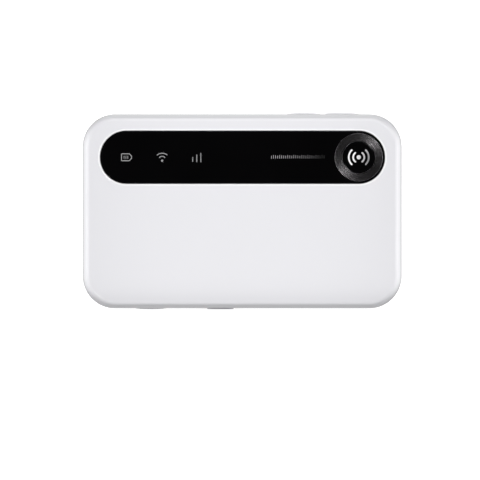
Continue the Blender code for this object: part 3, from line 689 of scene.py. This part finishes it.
TICKS = 27
TICK_PITCH = 0.76
FIRST_TICK_X = 11.0
TICK_ROW_Y = 20.35
TICK_DOWN = 0.42


def fading_row():
    """A generic row of thin upright ticks of uneven height that fades away towards the emblem."""
    parts = []
    for i in range(TICKS):
        x = FIRST_TICK_X + TICK_PITCH * i
        high = TICK_DOWN + 0.3 * (i * 5 % 7) / 6.0
        parts.append(stroke(line_path((x, TICK_ROW_Y - TICK_DOWN), (x, TICK_ROW_Y + high)), 0.22))
    return parts


window()
pictogram_ink = printed("pictogram_ink", (0.30, 0.30, 0.30), (0.27, 0.27, 0.28), -46.0, -15.0)
row_ink = printed("fading_ink", (0.34, 0.33, 0.34), (0.010, 0.010, 0.010), 13.0, 30.0)
for mark_name, mark, mark_x in (("battery_pictogram", battery_mark, INDICATORS_X[0]),
                                ("wireless_pictogram", wireless_mark, INDICATORS_X[1]),
                                ("signal_pictogram", signal_mark, INDICATORS_X[2])):
    fitted(solid(mark_name, mark(mark_x, INDICATORS_Y), pictogram_ink), "housing", "window_black")
fitted(solid("fading_dash_row", fading_row(), row_ink), "housing", "window_black")


# ---------------------------------------------------------------- emblem
# A dark anodised aluminium ring, turned with fine concentric grooves and nearly square at its edges,
# bonded round a domed black cap. The cap carries a generic broadcast sign in silver print.
RING_LOW = 15.3
RING_TOP = 16.85
DISC_R = 6.05
GROOVE = 0.12


def circle_rows(profile, at, steps):
    """A turned shape: each (radius, height) of the profile becomes a circle about the axis."""
    turn = np.linspace(0.0, 2 * math.pi, steps, endpoint=False)
    radius, height = np.asarray(profile, float).T
    return np.stack([at[0] + radius[:, None] * np.cos(turn), at[1] + radius[:, None] * np.sin(turn),
                     np.repeat(height[:, None], steps, axis=1)], axis=-1)


def spun_metal():
    """Turned, dark anodised aluminium: the grain follows the grooves round the axis."""
    made, shader, place = new_material("spun_anodised")
    axis = (-EMBLEM_AT[0] * MM, -EMBLEM_AT[1] * MM, 0.0)
    centred = place.node("ShaderNodeMapping", values={"Vector": place, "Location": axis})
    x, y, z = centred.split()
    radius = (x * x + y * y) ** 0.5
    around = place.node("ShaderNodeCombineXYZ", values={"X": radius * 60.0, "Y": 0.0, "Z": 0.0})
    lathe = noise(around, 0.004, 4.0, 0.7)
    tone = noise(place, 0.003, 3.0)
    grain = lathe * 0.7 + tone * 0.3
    feed(shader, colour=grain.blend((0.27, 0.258, 0.268, 1.0), (0.35, 0.336, 0.348, 1.0)),
         roughness=0.16 + tone * 0.03, normal=relief(lathe, 0.000004))
    shader.inputs["Metallic"].default_value = 1.0
    return made


def emblem():
    """Circles at each (radius, height): the ring's top is a cosine wave over the radius, one wave to a
    groove, and the cap's height falls as the square of the radius."""
    radii = np.linspace(RING_R - 0.04, DISC_R + 0.14, 120)
    wave = 0.5 - 0.5 * np.cos(2 * math.pi * (radii - radii[-1]) / GROOVE)
    top = np.column_stack([radii, RING_TOP - 0.0074 * wave])
    outer = [(RING_R, RING_LOW), (RING_R, RING_TOP - 0.05), (RING_R - 0.015, RING_TOP - 0.02)]
    inner = [(DISC_R + 0.12, RING_TOP - 0.02), (DISC_R + 0.105, RING_TOP - 0.05),
             (DISC_R + 0.1, RING_LOW)]
    ring = quads(circle_rows([*outer, *top, *inner], EMBLEM_AT, 224), loop=True)
    fitted(solid("emblem_spun_ring", [ring], spun_metal(), 50.0), "housing", "spun_metal", "emblem_ring")
    dome = [(0.0, RING_LOW), (DISC_R, RING_LOW), (DISC_R, FACE_Z - 0.2), (DISC_R - 0.1, FACE_Z - 0.08)]
    dome += [(r, FACE_Z + 0.05 - 0.1 * (r / DISC_R) ** 2) for r in np.linspace(DISC_R - 0.25, 0.0, 16)]
    fitted(solid("emblem_cap", [quads(circle_rows(dome, EMBLEM_AT, 128))],
                 bpy.data.materials["window_black_acrylic"]), "housing", "window_black", "emblem_disc")


def broadcast_sign():
    """A dot between two pairs of arcs, the second pair shorter than the first is wide."""
    high, low = FACE_Z + 0.075, FACE_Z - 0.02
    parts = [quads(rod(0.8, low, high, EMBLEM_AT))]
    for radius, spread in ((2.1, 52.0), (3.75, 45.0)):
        for facing in (0.0, 180.0):
            parts.append(stroke(arc_path(EMBLEM_AT, radius, facing - spread, facing + spread, 24), 0.62,
                                low, high))
    return parts


emblem()
silver_ink = printed("silver_print", (0.88, 0.87, 0.88), (0.11, 0.11, 0.115), 41.5, 49.0, 0.3)
fitted(solid("emblem_broadcast_sign", broadcast_sign(), silver_ink), "housing", "spun_metal")


# ---------------------------------------------------------------- keys
# Two slim keys on the upper long edge, moulded in the case's white. Each has a cap through the wall, a
# flange that stops it behind the wall, and a rib on its switch. One is crowned, the other flat-topped.
KEY_FLANGE_HALF = np.array([7.1, 2.1])
KEY_FLANGE_BACK = 33.9
KEY_FLANGE_FRONT = 34.65
KEY_FACE = 37.05
# How far each cap's face falls at its left and right ends, and the power of that fall.
KEY_CROWN = {"function_key": (0.36, 0.36, 2.2), "power_key": (0.2, 0.44, 3.0)}


def key(name, x):
    """Rows up the flange and the cap to a rolled edge and a face that falls away from its middle as a
    power of the distance along it."""
    flange = outline(KEY_FLANGE_HALF, 0.8, arc=8, straight=24)
    cap = outline(KEY_HALF, 0.95, arc=8, straight=24)
    rows = [level(flange, 0.0, KEY_FLANGE_BACK), level(flange, 0.0, 34.55),
            level(flange, 0.08, KEY_FLANGE_FRONT)]
    rows += [level(cap, 0.0, KEY_FLANGE_FRONT)] + rolled_edge(cap, 0.42, KEY_FACE, 8)
    rows += between(rows[-1], level(cap, 1.1, KEY_FACE), 3)
    grid = np.array([closing(rows[0]), *rows, closing(rows[-1])])
    left, right, power = KEY_CROWN[name]
    along = grid[..., 0] / KEY_HALF[0]
    share = np.clip((grid[..., 2] - 35.5) / 1.3, 0.0, 1.0)
    grid[..., 2] -= share * np.where(along < 0, left, right) * np.abs(along) ** power
    rib = to_edge(bar((1.0, 0.8), 0.1, 33.0, KEY_FLANGE_BACK, arc=2), x, 1)
    made = solid(f"{name}_cap", [quads(to_edge(grid, x, 1)), quads(rib)], white_gloss)
    fitted(made, f"{name}_body", "white_gloss", name)


for key_name, key_x in KEYS_X.items():
    key(key_name, key_x)


# ---------------------------------------------------------------- USB-C receptacle
# A drawn steel shell with a plated bezel round its mouth. Inside, a black tongue carries a row of gold
# contacts on each face.
USB_BEZEL_HALF = np.array([4.95, 2.1])
USB_SHELL_HALF = np.array([4.47, 1.63])
USB_MOUTH_HALF = np.array([4.17, 1.28])
CONTACT_PITCH = 0.5
CONTACTS_A_SIDE = 12


def plated_metal(name, dark, light, roughness, scale=(0.04, 1.0, 1.0), relief_depth=0.000003):
    """Rolled and plated sheet: a long grain in one direction, and slow stains in the plating."""
    made, shader, place = new_material(name)
    grain = noise(place.node("ShaderNodeMapping", values={"Vector": place, "Scale": scale}), 0.00018, 3.0)
    stain = noise(place, 0.004, 3.0)
    feed(shader, colour=(grain * 0.6 + stain * 0.4).blend((*dark, 1.0), (*light, 1.0)),
         roughness=(roughness - 0.06 + stain * 0.12).clamp(), normal=relief(grain, relief_depth))
    shader.inputs["Metallic"].default_value = 1.0
    return made


plated_steel = plated_metal("plated_steel", (0.50, 0.50, 0.51), (0.66, 0.66, 0.67), 0.28)
satin_nickel = plated_metal("satin_nickel", (0.30, 0.30, 0.31), (0.38, 0.38, 0.39), 0.42)
gold_plate = plated_metal("gold_plate", (0.72, 0.50, 0.20), (0.86, 0.64, 0.30), 0.25)
black_moulding = moulding("black_moulding", (0.022, 0.022, 0.024), 0.48, vary=0.15, grain=0.0003)


def usb_receptacle():
    """Bezel and shell are rings: rows up the mouth, over a rolled edge and back down the outside. The
    tongue is a base and a plate, with a row of flat strips above it and one below."""
    bezel, hole = outline(USB_BEZEL_HALF, 2.1, arc=14), outline(USB_SHELL_HALF + 0.1, 1.73, arc=14)
    rows = [level(hole, 0.0, 35.15), level(hole, 0.0, 36.75), level(hole, -0.03, 36.82),
            level(hole, -0.1, 36.85)]
    rows += rolled_edge(bezel, 0.26, 36.85, 6, rise=1.15)[::-1] + [level(bezel, 0.0, 35.15)]
    fitted(solid("usb_c_bezel_ring", [quads(to_edge(rows, USB_X, -1), loop=True)], satin_nickel),
           "housing", "plated_steel", "usb_c_bezel")
    outer, mouth = outline(USB_SHELL_HALF, 1.63, arc=14), outline(USB_MOUTH_HALF, 1.28, arc=14)
    rows = [level(mouth, 0.0, 29.4), level(mouth, 0.0, 36.35), level(mouth, -0.06, 36.52),
            level(mouth, -0.16, 36.6)]
    rows += rolled_edge(outer, 0.08, 36.6, 3)[::-1] + [level(outer, 0.0, 29.4)]
    fitted(solid("usb_c_drawn_shell", [quads(to_edge(rows, USB_X, -1), loop=True)], plated_steel),
           "housing", "plated_steel", "usb_c_shell")
    base = to_edge(bar((4.02, 1.13), 0.9, 29.65, 30.85, arc=8), USB_X, -1)
    plate = to_edge(bar((3.35, 0.35), 0.2, 30.25, 35.4, arc=4, round_high=0.15), USB_X, -1)
    fitted(solid("usb_c_contact_tongue", [quads(base), quads(plate)], black_moulding),
           "housing", "black_moulding", "usb_c_tongue")
    strips = []
    for side in (-1, 1):
        for i in range(CONTACTS_A_SIDE):
            x = USB_X + (i - (CONTACTS_A_SIDE - 1) / 2) * CONTACT_PITCH
            strips.append(quads(to_edge(bar((0.12, 0.02), 0.02, 30.9, 35.0, arc=1), x, -1,
                                        PORT_Z + side * 0.355)))
    fitted(solid("usb_c_contacts", strips, gold_plate), "housing", "gold_plate")


usb_receptacle()


# ---------------------------------------------------------------- SIM tray and card
# A tray whose outer face closes its slot, with a nail groove under that face; its moulding is painted grey,
# darker than the case's white, as painted shade on that face. A nano card lies in the tray's pocket, gold
# contacts upwards. The tray draws straight out.
TRAY_HALF = np.array([6.6, 1.3])
TRAY_FACE = 36.85
TRAY_PLATE_HALF = np.array([5.6, 8.4])
TRAY_END = -18.9
CARD_AT = np.array([SIM_X, -26.2])
CARD_HALF = np.array([4.4, 6.15])
CARD_LOW = 9.3
CARD_TOP = 9.97


def sim_tray():
    """The outer face is a shallow pillow: flush with the wall at its border and proud in the middle. It
    falls towards its ends as the square of the distance, until it is 0.3 lower."""
    shape = outline(TRAY_HALF, 0.95, arc=8, straight=16)
    rows = [level(shape, 0.0, 35.25)] + rolled_edge(shape, 0.9, TRAY_FACE, 10, rise=0.36)
    grid = np.array([closing(rows[0]), *rows, closing(rows[-1])])
    grid[..., 2] -= (grid[..., 2] > 36.0) * 0.3 * np.minimum(np.abs(grid[..., 0] / 6.0) ** 2, 1.0)
    face = solid("sim_tray_moulding", [quads(to_edge(grid, SIM_X, -1))])
    plate_at = (SIM_X, TRAY_END - TRAY_PLATE_HALF[1])
    plate = solid("tray_plate", [quads(bar(TRAY_PLATE_HALF, 0.7, 8.9, 10.1, plate_at, 4,
                                           round_low=0.12, round_high=0.12))])
    cuts = [solid("card_pocket", [quads(bar(CARD_HALF + 0.2, 0.5, 9.2, 11.0, CARD_AT, 4))]),
            solid("card_window", [quads(bar(CARD_HALF - 0.7, 0.8, 8.0, 11.0, CARD_AT, 4))]),
            solid("nail_groove", [quads(to_edge(bar((2.1, 0.32), 0.3, 36.25, 38.0, arc=4), SIM_X, -1,
                                                PORT_Z - 1.15))])]
    # Painted shade: the tray's face is painted grey, darker than the case's white, to stand in for the shade
    # on it.
    tray_painted_shade = moulding("tray_moulding", (0.43, 0.43, 0.45), 0.22, vary=0.02, grain=0.0006,
                          grain_depth=0.000001)
    face.data.materials.append(tray_painted_shade)
    fitted(worked(face, cuts, [plate]), "sim_tray_body", "white_gloss", "sim_tray")


def sim_card():
    """The card's outline has one corner cut off; its contacts are eight pads round a centre."""
    outline_points, facing = outline(CARD_HALF, 0.6, CARD_AT, arc=4)
    corner = np.array([SIM_X + CARD_HALF[0], CARD_AT[1] - CARD_HALF[1]])
    beyond = (outline_points - corner) @ np.array([1.0, -1.0]) + 1.9
    shift = np.maximum(beyond, 0.0)[:, None] * np.array([-0.5, 0.5])
    shape = (outline_points + shift, facing)
    rows = [level(shape, 0.05, CARD_LOW), level(shape, 0.0, CARD_LOW + 0.05),
            level(shape, 0.0, CARD_TOP - 0.05), level(shape, 0.05, CARD_TOP)]
    card = solid("nano_card", [quads([closing(rows[0]), *rows, closing(rows[-1])])],
                 moulding("card_plastic", (0.72, 0.74, 0.78), 0.4, vary=0.05))
    fitted(card, "sim_tray_body", "label_foil", "sim_card")
    pads = [quads(bar((1.15, 1.0), 0.25, CARD_TOP - 0.02, CARD_TOP + 0.02,
                      CARD_AT + (side * 2.6, row * 2.35), 3))
            for side in (-1, 1) for row in (-1.5, -0.5, 0.5, 1.5)]
    pads.append(quads(bar((1.2, 3.9), 0.3, CARD_TOP - 0.02, CARD_TOP + 0.02, CARD_AT, 3)))
    fitted(solid("nano_card_contacts", pads, gold_plate), "sim_tray_body", "gold_plate")


sim_tray()
sim_card()


# ---------------------------------------------------------------- inner pieces
# What the case holds keeps its CAD shape: board, cans, chips, battery, chassis, antennas, switches,
# light guide and screws. Each gets the finish of its material.
chassis_grey = moulding("chassis_moulding", (0.10, 0.10, 0.11), 0.55, vary=0.12, grain=0.0004)
ivory = moulding("ivory_moulding", (0.78, 0.74, 0.64), 0.45, vary=0.05)
tape_film = moulding("adhesive_film", (0.04, 0.04, 0.04), 0.62, vary=0.2, grain=0.0012)
wire_red = moulding("wire_insulation_red", (0.50, 0.025, 0.025), 0.42, vary=0.12)
wire_black = moulding("wire_insulation_black", (0.02, 0.02, 0.02), 0.42, vary=0.15)
thermal_silicone = moulding("thermal_silicone", (0.42, 0.48, 0.62), 0.8, vary=0.1, grain=0.0008)
tinned_sheet = plated_metal("tinned_sheet", (0.60, 0.60, 0.61), (0.74, 0.74, 0.75), 0.34, (1.0, 0.05, 1.0))


def board_laminate():
    """Solder-masked laminate: copper tracks show as lighter lanes under the mask, with plated vias."""
    made, shader, place = new_material("board_laminate")
    lanes = place.node("ShaderNodeTexWave", {"wave_type": "BANDS", "bands_direction": "DIAGONAL"},
                       {"Vector": place, "Scale": 380.0, "Distortion": 1.6, "Detail": 2.0})
    islands = noise(place, 0.006, 3.0)
    track = ((lanes - 0.55) * 8.0).clamp() * ((islands - 0.45) * 10.0).clamp()
    cells = place.node("ShaderNodeTexVoronoi", {"feature": "F1"}, {"Vector": place, "Scale": 420.0,
                                                                   "Randomness": 0.6})
    via = ((0.16 - cells) * 30.0).clamp()
    mask = track.blend((0.012, 0.05, 0.035, 1.0), (0.03, 0.12, 0.07, 1.0))
    feed(shader, colour=via.blend(mask, (0.7, 0.55, 0.25, 1.0)),
         roughness=0.32 + islands * 0.12, normal=relief(track * 0.6 + via * 0.4, 0.00002))
    return made


def pouch_foil():
    """Laminated aluminium pouch: satin, with shallow dimples where it lies on the cell."""
    made, shader, place = new_material("pouch_foil")
    dimples = noise(place, 0.004, 3.0, 0.6)
    crease = noise(place, 0.0006, 2.0)
    feed(shader, colour=dimples.blend((0.44, 0.44, 0.46, 1.0), (0.60, 0.60, 0.61, 1.0)),
         roughness=0.34 + crease * 0.14, normal=relief(dimples * 0.8 + crease * 0.2, 0.00008))
    shader.inputs["Metallic"].default_value = 0.85
    return made


def antenna_carrier():
    """Moulded carrier with laser-plated copper lanes, flashed with gold."""
    made, shader, place = new_material("plated_carrier")
    lanes = place.node("ShaderNodeTexWave", {"wave_type": "BANDS", "bands_direction": "Z"},
                       {"Vector": place, "Scale": 120.0, "Distortion": 0.0})
    edge = ((lanes - 0.62) * 14.0).clamp()
    skin = noise(place, 0.0003, 2.0)
    feed(shader, colour=edge.blend((0.05, 0.05, 0.052, 1.0), (0.78, 0.56, 0.26, 1.0)), metallic=edge,
         roughness=0.5 - edge * 0.16 + skin * 0.06, normal=relief(skin * 0.4 + edge * 0.6, 0.000012))
    return made


def clear_guide():
    """Clear acrylic that carries light from each lamp, faintly textured to spread it."""
    made, shader, place = new_material("clear_guide")
    frost = noise(place, 0.0002, 2.0)
    feed(shader, colour=frost.blend((0.88, 0.90, 0.92, 1.0), (0.96, 0.97, 0.98, 1.0)),
         roughness=0.12 + frost * 0.2, normal=relief(frost, 0.000008))
    shader.inputs["Transmission Weight"].default_value = 0.8
    return made


inner_finish = {
    "window_tape": tape_film, "battery_tape": tape_film, "mid_frame": chassis_grey,
    "power_switch": black_moulding, "function_switch": black_moulding, "reset_switch": black_moulding,
    "power_plunger": ivory, "function_plunger": ivory, "reset_plunger": ivory,
    "sim_socket": plated_steel, "main_board": board_laminate(), "battery_pack": pouch_foil(),
    "modem_chip": black_moulding, "memory_chip": black_moulding, "wifi_chip": black_moulding,
    "modem_shield": tinned_sheet, "wifi_shield": tinned_sheet, "heat_spreader": tinned_sheet,
    "thermal_pad": thermal_silicone, "light_baffle": black_moulding, "light_guide": clear_guide(),
    "battery_led": ivory, "wireless_led": ivory, "signal_led": ivory,
    "battery_socket": black_moulding, "battery_plug": ivory,
    "battery_wire_plus": wire_red, "battery_wire_minus": wire_black,
}
carrier = antenna_carrier()
for side in ("left", "right", "top", "bottom"):
    inner_finish[f"antenna_{side}"] = carrier
    inner_finish[f"antenna_spring_{side}"] = gold_plate
for number in range(1, 5):
    inner_finish[f"case_screw_{number}"] = plated_steel
    inner_finish[f"board_screw_{number}"] = plated_steel
for node_name, finish in inner_finish.items():
    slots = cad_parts[node_name].data.materials
    for place_in_list in range(len(slots)):
        slots[place_in_list] = finish
